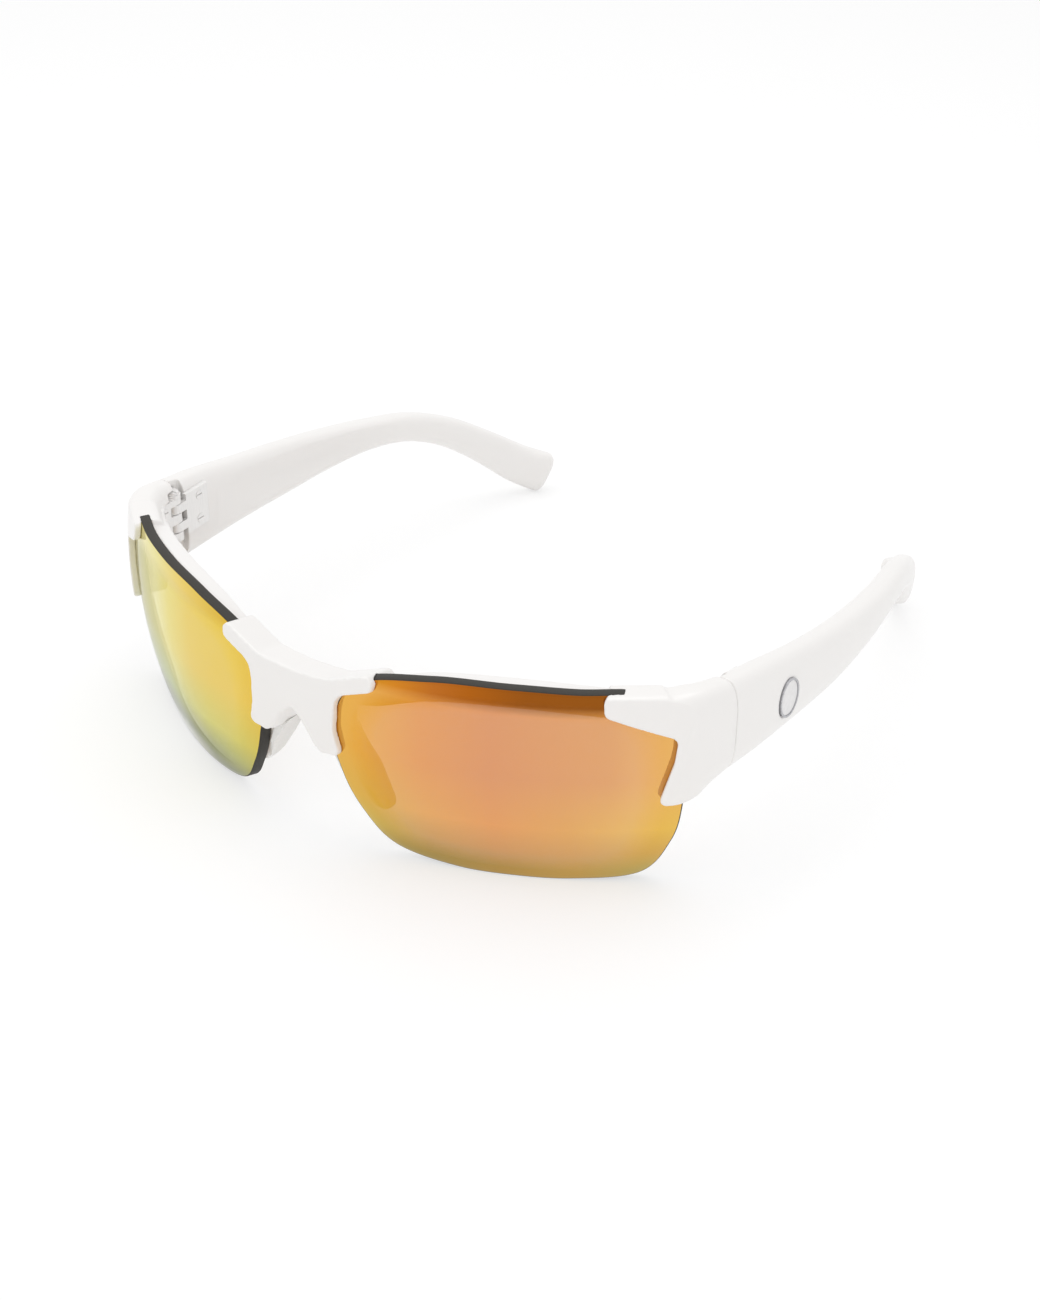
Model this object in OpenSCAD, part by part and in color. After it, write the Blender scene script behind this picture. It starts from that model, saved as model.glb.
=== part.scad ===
// Wraparound sport sunglasses, in millimetres.
// +Z is up, -Y is where the wearer looks, +X is the wearer's left.
// The origin is on the surface that the glasses stand on, under the middle of their box.

/* [Lenses] */
// Radius of the ball that the front of each lens lies on
lens_radius = 87.3; // [86.8:0.1:88]
// Thickness of a lens
lens_thickness = 2.0; // [1.8:0.1:2.1]
// Sideways place of each lens ball's centre
lens_offset = 3.4; // [3.2:0.1:3.6]
// Height of the lens ball's centre
lens_height = 26.7; // [26.7:0.1:27]
// How far each lens is turned outwards, in degrees
lens_turn = 25; // [24.8:0.1:25.2]

/* [Frame] */
// How far the nose cover and the claws stand in front of the lenses
cover_proud = 1.5; // [1.3:0.1:1.7]
// Depth of the brow bar behind the lenses
bar_depth = 3.8; // [3.4:0.1:4.2]
// Height of the brow bar
bar_height = 4.6; // [4:0.1:5.2]
// Air gap between a lens and its groove
groove_gap = 0.05; // [0.03:0.01:0.08]

/* [Temples] */
// Furthest back that a temple tip reaches, from the front of the lenses
temple_reach = 147; // [145:0.5:149]
// Gap between a temple and its end piece when the temple is open
seam_gap = 0.3; // [0.25:0.05:0.4]
// Depth of the groove along the inside of a temple
groove_depth = 1.5; // [0.8:0.1:1.8]
// Angle that a hinge turns for the folded view
fold_angle = 0; // [0:1:80]

/* [Hinges] */
// Outer radius of the hinge knuckles
knuckle_radius = 1.9; // [1.8:0.05:2]
// Radius of the hinge screw's shank
pin_radius = 0.7; // [0.6:0.05:0.75]
// Radial play of the shank in the knuckles
pin_play = 0.06; // [0.04:0.01:0.08]
// Height of one knuckle
knuckle_height = 2.0; // [1.9:0.05:2.1]
// Thickness of the hinge leaves
leaf_thickness = 1.1; // [1:0.05:1.2]

/* [Hidden] */

ball_facets = 160;
round_facets = 48;
frame_colour = "whitesmoke";
metal_colour = "silver";

// Distance from the lens front to the middle of the whole depth.
middle_y = 74.36;

// Outline of a lens seen along its own axis: [sideways, up] from the ball's centre.
lens_outline = [[29.0, 9.9], [22.3, 14.1], [12.0, 14.5], [1.0, 14.7], [-13.3, 14.1], [-27.4, 10.4],
                [-32.4, 0.3], [-30.8, -9.1], [-27.2, -17.0], [-21.1, -24.0], [-9.6, -26.4],
                [1.0, -26.67], [11.9, -26.5], [24.0, -24.8], [29.2, -17.0], [30.9, -9.1], [30.7, -0.5]];

// Outline of a claw on the same axis: [sideways, up, corner radius]. It runs off past the end piece.
claw_outline = [[16.9, 14.9, 1.5], [17.2, 11.0, 1.5], [29.8, 6.2, 1.6], [29.3, 1.5, 4.0], [26.8, -7.4, 1.6],
                [31.4, -8.1, 1.0], [50.0, -8.0, 0.5], [50.0, 14.9, 0.5]];

// Half outline of the nose cover seen from the front: [sideways, up, corner radius].
cover_outline = [[0, 36.2, 0.2], [8.0, 36.7, 5.0], [16.2, 39.9, 1.0], [17.6, 38.6, 0.9], [17.1, 36.8, 0.9],
                 [9.9, 34.0, 3.6], [9.5, 26.5, 6.0], [10.8, 21.7, 1.4], [6.2, 21.3, 1.0], [2.4, 26.4, 1.2],
                 [0, 28.6, 0.2]];
// How much the nose cover's top falls towards the head, in degrees, about a line at this height.
cover_slope = 12;
cover_tilt_z = 38;

// Wall of the nose saddle: half width at the top, height there, and spread per height below it.
saddle_half_width = 2.2;
saddle_top = 26.6;
saddle_spread = 0.6;
saddle_foot = 8.0;
saddle_wall = 2.6;
pad_thickness = 1.4;
pad_proud = 0.4;
pad_foot = 9.0;
pad_head = 21.5;

// Middle line of an end piece and its temple, from the claw to the tip:
// [out, back, up, half height, half thickness, squareness].
arm_stations = [[49.8, 15.9, 29.7, 11.6, 4.0, 5.0], [53.6, 18.4, 29.7, 11.6, 4.0, 5.0],
                [58.2, 22.1, 29.7, 11.6, 4.0, 4.6], [62.5, 26.1, 29.6, 11.5, 3.9, 4.2],
                [65.1, 29.7, 30.4, 10.6, 3.7, 3.7], [66.2, 33.0, 30.6, 9.9, 3.5, 3.2],
                [66.9, 38.0, 30.4, 9.2, 3.4, 3.0], [67.7, 46.0, 29.9, 8.7, 3.4, 2.8],
                [68.5, 60.0, 28.9, 7.4, 3.3, 2.6], [68.7, 74.0, 28.1, 6.3, 3.2, 2.6],
                [67.9, 88.0, 27.7, 4.9, 3.1, 2.6], [66.1, 101.0, 27.1, 3.7, 2.9, 2.6],
                [63.5, 113.0, 25.4, 3.4, 2.7, 2.6], [60.3, 124.0, 21.1, 3.6, 2.6, 2.6],
                [56.6, 134.0, 14.6, 4.1, 2.5, 2.6], [52.6, 142.3, 8.2, 4.8, 2.4, 2.8],
                [48.4, temple_reach, 5.2, 5.2, 2.2, 3.0]];
station_steps = 4;
seam_station = 6;
section_points = 32;
groove_start = 50;
groove_end = 108;

hinge_x = 64.9;
hinge_y = 36.6;
end_back = hinge_y + 0.05;
seam_y = end_back + seam_gap;
hinge_low = 27.0;
knuckle_gap = 0.1;
knuckle_count = 5;
knuckle_pitch = knuckle_height + knuckle_gap;
hinge_top = hinge_low + knuckle_count * knuckle_pitch - knuckle_gap;
hinge_mid = (hinge_low + hinge_top) / 2;
front_leaf_turn = 0;
temple_leaf_turn = -6;
front_leaf_length = 6;
temple_leaf_length = 9.5;
leaf_margin = 0.7;
leaf_screw_spread = 2.7;
leaf_head_radius = 1.0;
leaf_shank_radius = 0.55;
leaf_shank_length = 3.0;
part_gap = 0.03;

badge_x = 68.2;
badge_y = 53.5;
badge_z = 29.3;
badge_length = 6.2;
badge_height = 8.0;
badge_turn = -3.3;

// ---- Helpers ----

function spline_point(a, b, c, d, t) =
    0.5 * (2 * b + (c - a) * t + (2 * a - 5 * b + 4 * c - d) * t * t + (3 * b - a - 3 * c + d) * t * t * t);

// A smooth closed curve through a list of points.
function closed_spline(points, steps) =
    let (n = len(points))
    [for (i = [0:n - 1], s = [0:steps - 1])
        spline_point(points[(i + n - 1) % n], points[i], points[(i + 1) % n], points[(i + 2) % n], s / steps)];

// A smooth open curve through a list of points.
function open_spline(points, steps) =
    let (n = len(points))
    [for (i = [0:(n - 1) * steps])
        let (k = min(floor(i / steps), n - 2))
        spline_point(points[max(k - 1, 0)], points[k], points[k + 1], points[min(k + 2, n - 1)],
                     i / steps - k)];

function unit(v) = v / norm(v);
function flat(p) = [p[0], p[1]];

// Points along the arc that rounds the corner q between the corners p and s.
function corner_arc(p, q, s, steps = 5) =
    let (
        to_p = unit(flat(p) - flat(q)),
        to_s = unit(flat(s) - flat(q)),
        half = acos(to_p * to_s) / 2,
        centre = flat(q) + unit(to_p + to_s) * q[2] / sin(half),
        first = flat(q) + to_p * q[2] / tan(half) - centre,
        last = flat(q) + to_s * q[2] / tan(half) - centre,
        start = atan2(first[1], first[0]),
        turn = (atan2(last[1], last[0]) - start + 540) % 360 - 180
    )
    [for (i = [0:steps]) centre + q[2] * [cos(start + turn * i / steps), sin(start + turn * i / steps)]];

function rounded(corners) =
    let (n = len(corners))
    [for (i = [0:n - 1]) each corner_arc(corners[(i + n - 1) % n], corners[i], corners[(i + 1) % n])];

function oval(length, height, steps = 40) =
    [for (i = [0:steps - 1]) [length / 2 * cos(360 * i / steps), height / 2 * sin(360 * i / steps)]];

// Everything is drawn for the wearer's left side and mirrored for the right side.
module on_side(side) {
    translate([0, -middle_y, 0])
    if (side > 0) children();
    else mirror([1, 0, 0]) children();
}

// Moves to the centre of the left lens ball.
module at_ball() {
    translate([lens_offset, lens_radius, lens_height]) children();
}

module ball(radius) {
    at_ball() sphere(radius, $fn = ball_facets);
}

// A prism with the given outline, along the left lens's own axis.
module lens_prism(outline) {
    at_ball() rotate([0, 0, lens_turn]) rotate([90, 0, 0])
    translate([0, 0, lens_radius / 2]) linear_extrude(lens_radius * 0.6) polygon(outline);
}

// The left lens, grown by a gap on every side.
module lens_solid(gap) {
    grow = 1 + gap / 25;
    intersection() {
        difference() {
            ball(lens_radius + gap);
            ball(lens_radius - lens_thickness - gap);
        }
        lens_prism([for (p = closed_spline(lens_outline, 6)) p * grow]);
    }
}

// ---- Front ----

module lens() {
    color("orange") lens_solid(0);
}

bar_front = lens_radius - lens_thickness - groove_gap;
bar_back = lens_radius - lens_thickness - bar_depth;
bar_slope = 13;

// Upper edge of the brow bar, just under the top of the lens, then straight to the middle.
bar_upper = [[34.0, 12.2], [24.0, 13.0], [15.5, 13.9], [1.0, 14.5], [-13.3, 13.7], [-25.0, 10.6],
             [-38.0, 9.2]];

module brow_bar_half() {
    upper = open_spline(bar_upper, 5);
    lower = [for (i = [len(upper) - 1:-1:0]) upper[i] - [0, bar_height]];
    intersection() {
        difference() {
            ball(bar_front);
            ball(bar_back);
        }
        at_ball() rotate([0, 0, lens_turn]) rotate([90 - bar_slope, 0, 0])
        translate([0, -bar_front * sin(bar_slope), lens_radius / 2])
        linear_extrude(lens_radius * 0.6) polygon(concat(upper, lower));
        translate([0, -5, 0]) cube([80, 60, 60]);
    }
}

module front_prism(outline, from_y, to_y) {
    translate([0, to_y, 0]) rotate([90, 0, 0]) linear_extrude(to_y - from_y) polygon(outline);
}

module side_prism(outline, from_x, to_x) {
    translate([from_x, 0, 0]) rotate([90, 0, 90]) linear_extrude(to_x - from_x) polygon(outline);
}

module plan_prism(outline, from_z, to_z) {
    translate([0, 0, from_z]) linear_extrude(to_z - from_z) polygon(outline);
}

module nose_cover_half() {
    intersection() {
        translate([0, 0, cover_tilt_z]) rotate([-cover_slope, 0, 0]) translate([0, 0, -cover_tilt_z])
        front_prism(rounded(cover_outline), -6, 30);
        difference() {
            ball(lens_radius + cover_proud);
            ball(bar_back);
        }
        translate([0, -5, 0]) cube([80, 60, 60]);
    }
}

function saddle_x(z) = saddle_half_width + saddle_spread * (saddle_top - z);

// The wall beside the nose: its section from the front, cut to its outline from the side.
module saddle_half() {
    side_outline = [[-1.2, 33, 1.0], [-1.2, 21.7, 0.8], [2.4, 20.6, 0.6], [3.6, 15, 3.0], [5.4, 8.2, 1.5],
                    [9.4, saddle_foot, 1.5], [10.2, 15, 3], [9.0, 23, 3], [6.2, 33, 1.0]];
    intersection() {
        front_prism([[0, 34], [0, 28.4], [saddle_x(26.6), 26.6], [saddle_x(saddle_foot), saddle_foot],
                     [saddle_x(saddle_foot) + saddle_wall, saddle_foot], [saddle_x(20) + saddle_wall, 20],
                     [saddle_x(26) + saddle_wall + 1, 26], [8.5, 34]], -3, 14);
        side_prism(rounded(side_outline), -1, 30);
    }
}

// The pad is a layer on the nose side of the saddle wall.
module pad_layer(gap) {
    side_outline = [[2.6, pad_head, 1.5], [2.6, 15.6, 1.5], [5.6, pad_foot + 0.6, 1.2], [9.0, pad_foot, 1.5],
                    [9.4, 15, 3], [8.4, pad_head, 1.5]];
    intersection() {
        front_prism([[saddle_x(28) - 2, 28], [saddle_x(5) - 2, 5],
                     [saddle_x(5) + pad_thickness + gap, 5], [saddle_x(28) + pad_thickness + gap, 28]], 0, 14);
        side_prism(rounded(side_outline), -1, 30);
    }
}

module nose_pad() {
    color("gainsboro")
    difference() {
        intersection() {
            pad_layer(0);
            front_prism([[saddle_x(28) - pad_proud, 28], [saddle_x(5) - pad_proud, 5],
                         [saddle_x(5) + 4, 5], [saddle_x(28) + 4, 28]], 0, 14);
        }
        lens_solid(0.3);
    }
}

module end_piece() {
    intersection() {
        lens_prism(rounded(claw_outline));
        ball(lens_radius + cover_proud);
        loft(arm_rings(0, seam_station));
        cube([90, end_back, 60]);
    }
}

module at_hinge(turn = 0) {
    translate([hinge_x, hinge_y, 0]) rotate([0, 0, turn]) children();
}

module upright(radius, low, top) {
    translate([0, 0, low]) cylinder(r = radius, h = top - low, $fn = round_facets);
}

function knuckle_low(i) = hinge_low + i * knuckle_pitch;

barrel_room = knuckle_radius + 0.25;
head_room = 0.9;
swing_room = 2.3;

module hinge_room() {
    at_hinge() upright(barrel_room, hinge_low - 0.3, hinge_top + head_room);
    // Opens the room towards the head, where the temple leaf swings through.
    at_hinge() translate([-8, -swing_room, hinge_low - 0.3])
    cube([8, 2 * swing_room, hinge_top + head_room - hinge_low + 0.3]);
}

// Box that a front leaf's plate fills, beside the barrel and towards the lens.
module front_plate(gap) {
    at_hinge(front_leaf_turn)
    translate([-knuckle_radius - gap, -front_leaf_length - gap, hinge_low + leaf_margin - gap])
    cube([leaf_thickness + 2 * gap, front_leaf_length + gap, hinge_top - hinge_low - 2 * leaf_margin + 2 * gap]);
}

// The pocket in the end piece that the front leaf's plate is laid in from the head side.
module front_pocket() {
    front_plate(part_gap);
    at_hinge(front_leaf_turn)
    translate([-8, -front_leaf_length - part_gap, hinge_low + leaf_margin - part_gap])
    cube([8 - knuckle_radius + part_gap, front_leaf_length, hinge_top - hinge_low - 2 * (leaf_margin - part_gap)]);
}

// Box that a temple leaf's plate fills, on the inside of the temple.
module temple_plate(gap) {
    at_hinge(temple_leaf_turn)
    translate([-knuckle_radius - gap, 2.3, hinge_low + leaf_margin - gap])
    cube([leaf_thickness + 2 * gap, temple_leaf_length - 2.3 + gap,
          hinge_top - hinge_low - 2 * leaf_margin + 2 * gap]);
}

// Places the two small screws of a leaf: along is how far the pair is from the hinge.
module at_leaf_screws(turn, along, face) {
    for (up = [-leaf_screw_spread, leaf_screw_spread])
        at_hinge(turn) translate([face, along, hinge_mid + up]) rotate([0, 90, 0]) children();
}

module leaf_screw_holes(turn, along, face) {
    at_leaf_screws(turn, along, face) {
        translate([0, 0, -1]) cylinder(r = leaf_head_radius + part_gap, h = 1.5, $fn = 24);
        cylinder(r = leaf_shank_radius + part_gap, h = leaf_shank_length + 0.1, $fn = 24);
    }
}

module leaf_screws(turn, along, face) {
    color(metal_colour)
    at_leaf_screws(turn, along, face)
    difference() {
        union() {
            translate([0, 0, -0.05]) cylinder(r = leaf_head_radius, h = 0.5, $fn = 24);
            cylinder(r = leaf_shank_radius, h = leaf_shank_length, $fn = 24);
        }
        translate([-0.12, -leaf_head_radius, -0.1]) cube([0.24, 2 * leaf_head_radius, 0.3]);
    }
}

front_screw_along = -4.1;
front_screw_face = -knuckle_radius;
temple_screw_along = 6.6;
temple_screw_face = -knuckle_radius;

module front_frame_half() {
    difference() {
        union() {
            brow_bar_half();
            nose_cover_half();
            saddle_half();
            end_piece();
        }
        lens_solid(groove_gap);
        hinge_room();
        front_pocket();
        pad_layer(part_gap);
        leaf_screw_holes(front_leaf_turn, front_screw_along, front_screw_face);
    }
}

module front_frame() {
    color(frame_colour)
    union() {
        on_side(1) front_frame_half();
        on_side(-1) front_frame_half();
    }
}

// ---- Hinges ----

module front_hinge_leaf() {
    color(metal_colour)
    difference() {
        union() {
            front_plate(0);
            for (i = [0:2:4])
                at_hinge() upright(knuckle_radius, knuckle_low(i), knuckle_low(i) + knuckle_height);
        }
        at_hinge() upright(pin_radius + pin_play, hinge_low - 1, hinge_top + 1);
        for (i = [1:2:3])
            at_hinge() {
                upright(barrel_room, knuckle_low(i) - knuckle_gap, knuckle_low(i + 1));
                translate([-knuckle_radius - 1, -swing_room, knuckle_low(i) - knuckle_gap])
                cube([knuckle_radius + 1, swing_room, knuckle_pitch + knuckle_gap]);
            }
        leaf_screw_holes(front_leaf_turn, front_screw_along, front_screw_face);
    }
}

module temple_hinge_leaf() {
    color(metal_colour)
    difference() {
        union() {
            temple_plate(0);
            for (i = [1:2:3]) {
                at_hinge() upright(knuckle_radius, knuckle_low(i), knuckle_low(i) + knuckle_height);
                at_hinge(temple_leaf_turn) translate([-knuckle_radius, 0, knuckle_low(i)])
                cube([leaf_thickness, 3, knuckle_height]);
            }
        }
        at_hinge() upright(pin_radius + pin_play, hinge_low - 1, hinge_top + 1);
        leaf_screw_holes(temple_leaf_turn, temple_screw_along, temple_screw_face);
    }
}

module hinge_screw() {
    color(metal_colour)
    difference() {
        at_hinge() {
            upright(pin_radius, hinge_low - 0.1, hinge_top + 0.1);
            upright(knuckle_radius - 0.4, hinge_top + 0.02, hinge_top + 0.6);
        }
        at_hinge() translate([-2, -0.15, hinge_top + 0.35]) cube([4, 0.3, 1]);
    }
}

// ---- Temples ----

// Depth of the inner groove at a distance back from the lens front.
function groove_at(y) =
    y <= groove_start || y >= groove_end ? 0 :
    groove_depth * pow(sin(180 * (y - groove_start) / (groove_end - groove_start)), 0.8);

function power_cos(a, power) = sign(cos(a)) * pow(abs(cos(a)), 2 / power);
function power_sin(a, power) = sign(sin(a)) * pow(abs(sin(a)), 2 / power);

// One point of a section: [outwards, upwards]. The groove is a dip in the side next to the head.
function section_point(a, half_height, half_thick, power, dip) =
    let (up = power_sin(a, power), out = power_cos(a, power))
    [half_thick * out + (out < 0 ? dip * pow(max(0, 1 - pow(up / 0.72, 2)), 1.5) : 0), half_height * up];

// A ring of points around a place on the middle line, square to its direction.
function arm_ring(place, along, half_height, half_thick, power, dip) =
    let (
        out = unit([along[1], -along[0], 0]),
        up = unit(cross(out, along))
    )
    [for (i = [0:section_points - 1])
        let (p = section_point(360 * i / section_points, half_height, half_thick, power, dip))
        place + out * p[0] + up * p[1]];

arm_line = open_spline(arm_stations, station_steps);
arm_last = len(arm_line) - 1;

function place_of(i) = [arm_line[i][0], arm_line[i][1], arm_line[i][2]];
function direction_of(i) = unit(place_of(min(i + 1, arm_last)) - place_of(max(i - 1, 0)));

// The rings between two stations.
function arm_rings(from, to) =
    [for (i = [from * station_steps:to * station_steps])
        let (s = arm_line[i])
        arm_ring(place_of(i), direction_of(i), s[3], s[4], s[5], groove_at(s[1]))];

// How the tip closes: [share of its length, share of its size].
tip_steps = [[0.45, 0.97], [0.8, 0.86], [1.0, 0.66]];
tip_length = 2.2;

function tip_rings() =
    let (s = arm_line[arm_last], along = direction_of(arm_last))
    [for (t = tip_steps)
        arm_ring(place_of(arm_last) + along * tip_length * t[0], along, s[3] * t[1], s[4] * t[1], s[5], 0)];

// A solid through a list of rings.
module loft(rings) {
    n = len(rings);
    m = section_points;
    polyhedron(
        points = [for (ring = rings) each ring],
        faces = concat(
            [[for (j = [m - 1:-1:0]) j]],
            [for (i = [0:n - 2], j = [0:m - 1])
                [i * m + j, i * m + (j + 1) % m, (i + 1) * m + (j + 1) % m, (i + 1) * m + j]],
            [[for (j = [0:m - 1]) (n - 1) * m + j]]));
}

// The front end of the temple leaves room for the barrel and turns clear of the end piece.
module temple_relief() {
    hinge_room();
    at_hinge() translate([-6, -3, 10]) cube([7, 6, 40]);
    translate([50, seam_y - 10, 10]) cube([30, 10, 40]);
}

module at_badge() {
    translate([badge_x, badge_y, badge_z]) rotate([0, 0, badge_turn]) rotate([90, 0, 90]) children();
}

badge_face = 3.35;

module badge_seat(gap) {
    at_badge() translate([0, 0, badge_face - 0.6 - gap])
    linear_extrude(2) polygon(oval(badge_length + 2 * gap, badge_height + 2 * gap));
}

module temple() {
    color(frame_colour)
    difference() {
        loft(concat(arm_rings(seam_station - 1, len(arm_stations) - 1), tip_rings()));
        temple_relief();
        temple_plate(part_gap);
        leaf_screw_holes(temple_leaf_turn, temple_screw_along, temple_screw_face);
        badge_seat(part_gap);
    }
}

rim_width = 0.4;

module badge_rim() {
    color("gray")
    at_badge() translate([0, 0, badge_face - 0.6])
    linear_extrude(0.8)
    difference() {
        polygon(oval(badge_length, badge_height));
        polygon(oval(badge_length - 2 * rim_width, badge_height - 2 * rim_width));
    }
}

module badge_plate() {
    color("lightgray")
    at_badge() translate([0, 0, badge_face - 0.6])
    linear_extrude(0.65)
    polygon(oval(badge_length - 2 * rim_width - 2 * part_gap, badge_height - 2 * rim_width - 2 * part_gap));
}

// A piece that turns with its temple.
module folding(side) {
    on_side(side)
    translate([hinge_x, hinge_y, 0]) rotate([0, 0, fold_angle]) translate([-hinge_x, -hinge_y, 0])
    children();
}

front_frame();
on_side(1) lens();  // lens_left
on_side(-1) lens();  // lens_right
on_side(1) nose_pad();  // nose_pad_left
on_side(-1) nose_pad();  // nose_pad_right
folding(1) temple();  // temple_left
folding(-1) temple();  // temple_right
on_side(1) front_hinge_leaf();  // front_hinge_leaf_left
on_side(-1) front_hinge_leaf();  // front_hinge_leaf_right
folding(1) temple_hinge_leaf();  // temple_hinge_leaf_left
folding(-1) temple_hinge_leaf();  // temple_hinge_leaf_right
on_side(1) hinge_screw();  // hinge_screw_left
on_side(-1) hinge_screw();  // hinge_screw_right
on_side(1) leaf_screws(front_leaf_turn, front_screw_along, front_screw_face);  // front_leaf_screws_left
on_side(-1) leaf_screws(front_leaf_turn, front_screw_along, front_screw_face);  // front_leaf_screws_right
folding(1) leaf_screws(temple_leaf_turn, temple_screw_along, temple_screw_face);  // temple_leaf_screws_left
folding(-1) leaf_screws(temple_leaf_turn, temple_screw_along, temple_screw_face);  // temple_leaf_screws_right
folding(1) badge_rim();  // badge_rim_left
folding(-1) badge_rim();  // badge_rim_right
folding(1) badge_plate();  // badge_plate_left
folding(-1) badge_plate();  // badge_plate_right
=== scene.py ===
"""Wraparound sport sunglasses: the visual model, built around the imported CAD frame."""
import math

import bmesh
import bpy
from mathutils import Matrix, Vector
from mathutils.bvhtree import BVHTree

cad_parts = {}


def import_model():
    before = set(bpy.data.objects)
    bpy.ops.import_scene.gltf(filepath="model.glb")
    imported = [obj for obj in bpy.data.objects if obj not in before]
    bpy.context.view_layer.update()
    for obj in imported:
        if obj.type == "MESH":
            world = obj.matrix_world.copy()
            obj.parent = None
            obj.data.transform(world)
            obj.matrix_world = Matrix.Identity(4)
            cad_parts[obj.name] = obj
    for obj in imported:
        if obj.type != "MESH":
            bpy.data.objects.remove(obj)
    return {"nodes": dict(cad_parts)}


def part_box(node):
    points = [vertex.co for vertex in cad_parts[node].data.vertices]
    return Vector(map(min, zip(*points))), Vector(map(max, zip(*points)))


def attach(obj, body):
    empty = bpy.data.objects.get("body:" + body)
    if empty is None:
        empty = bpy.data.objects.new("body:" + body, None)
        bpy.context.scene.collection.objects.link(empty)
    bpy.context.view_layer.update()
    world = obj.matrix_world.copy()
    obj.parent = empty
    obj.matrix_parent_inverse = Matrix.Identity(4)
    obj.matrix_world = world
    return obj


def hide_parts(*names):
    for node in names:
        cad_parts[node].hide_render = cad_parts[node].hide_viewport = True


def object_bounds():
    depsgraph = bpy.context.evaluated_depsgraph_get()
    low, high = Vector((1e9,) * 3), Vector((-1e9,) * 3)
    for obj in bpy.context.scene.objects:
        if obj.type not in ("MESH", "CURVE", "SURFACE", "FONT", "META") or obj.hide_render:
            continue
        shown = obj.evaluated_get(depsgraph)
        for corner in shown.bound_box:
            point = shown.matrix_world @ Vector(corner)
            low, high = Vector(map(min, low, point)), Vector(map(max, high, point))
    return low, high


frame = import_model()
cad_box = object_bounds()
MM = 0.001

# The frame's driving sizes, as in the CAD, in millimetres. y = 0 is the front of the lenses.
LENS_RADIUS = 87.3  # of the ball that a lens's front lies on
LENS_THICKNESS = 2.0
LENS_OFFSET = 3.4  # sideways from the middle to the ball's centre
LENS_HEIGHT = 26.7  # of the ball's centre
LENS_TURN = math.radians(25)  # outwards
COVER_PROUD = 1.5  # how far the nose cover and the claws stand in front of a lens
GROOVE_GAP = 0.05  # the air between a lens and its groove
BAR_DEPTH = 3.8
BAR_HEIGHT = 4.6
BAR_SLOPE = math.radians(13)
BAR_FRONT = LENS_RADIUS - LENS_THICKNESS - GROOVE_GAP
BAR_BACK = LENS_RADIUS - LENS_THICKNESS - BAR_DEPTH
COVER_SLOPE = math.radians(12)
COVER_TILT_Z = 38  # the height that the slope turns about

# Outlines square to a lens's own axis, as (sideways, up) and for the claw a corner radius.
LENS_OUTLINE = [(29.0, 9.9), (22.3, 14.1), (12.0, 14.5), (1.0, 14.7), (-13.3, 14.1), (-27.4, 10.4),
                (-32.4, 0.3), (-30.8, -9.1), (-27.2, -17.0), (-21.1, -24.0), (-9.6, -26.4),
                (1.0, -26.67), (11.9, -26.5), (24.0, -24.8), (29.2, -17.0), (30.9, -9.1), (30.7, -0.5)]
BAR_UPPER = [(34.0, 12.2), (24.0, 13.0), (15.5, 13.9), (1.0, 14.5), (-13.3, 13.7), (-25.0, 10.6),
             (-38.0, 9.2)]
CLAW_OUTLINE = [(16.9, 14.9, 1.5), (17.2, 11.0, 1.5), (29.8, 6.2, 1.6), (29.3, 1.5, 4.0), (26.8, -7.4, 1.6),
                (31.4, -8.1, 1.0), (50.0, -8.0, 0.5), (50.0, 14.9, 0.5)]

# The nose cover's half from the front, as (out, up, corner radius).
COVER_OUTLINE = [(0, 36.2, 0.2), (8.0, 36.7, 5.0), (16.2, 39.9, 1.0), (17.6, 38.6, 0.9), (17.1, 36.8, 0.9),
                 (9.9, 34.0, 3.6), (9.5, 26.5, 6.0), (10.8, 21.7, 1.4), (6.2, 21.3, 1.0), (2.4, 26.4, 1.2),
                 (0, 28.6, 0.2)]

# The wall beside the nose and its pad from the side, as (back, up, corner radius).
SADDLE_SIDE = [(-1.2, 33, 1.0), (-1.2, 21.7, 0.8), (2.4, 20.6, 0.6), (3.6, 15, 3.0), (5.4, 8.2, 1.5),
               (9.4, 8.0, 1.5), (10.2, 15, 3.0), (9.0, 23, 3.0), (6.2, 33, 1.0)]
PAD_SIDE = [(2.6, 21.5, 1.5), (2.6, 15.6, 1.5), (5.6, 9.6, 1.2), (9.0, 9.0, 1.5), (9.4, 15, 3.0),
            (8.4, 21.5, 1.5)]

# The nose gap's half width at its top, the height there, and how it spreads per height below.
SADDLE_HALF_WIDTH = 2.2
SADDLE_TOP = 26.6
SADDLE_SPREAD = 0.6
SADDLE_FOOT = 8.0
SADDLE_ARCH = 28.4  # the arch's height over the nose
SADDLE_WALL = 2.6  # thickness, from the foot to the height of the knee
SADDLE_KNEE = 20
SADDLE_SHOULDER = 26
SADDLE_FLARE = 1  # how much thicker the wall is at its shoulder
PAD_SUNK = 1.4  # how deep a pad goes into the wall

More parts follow.
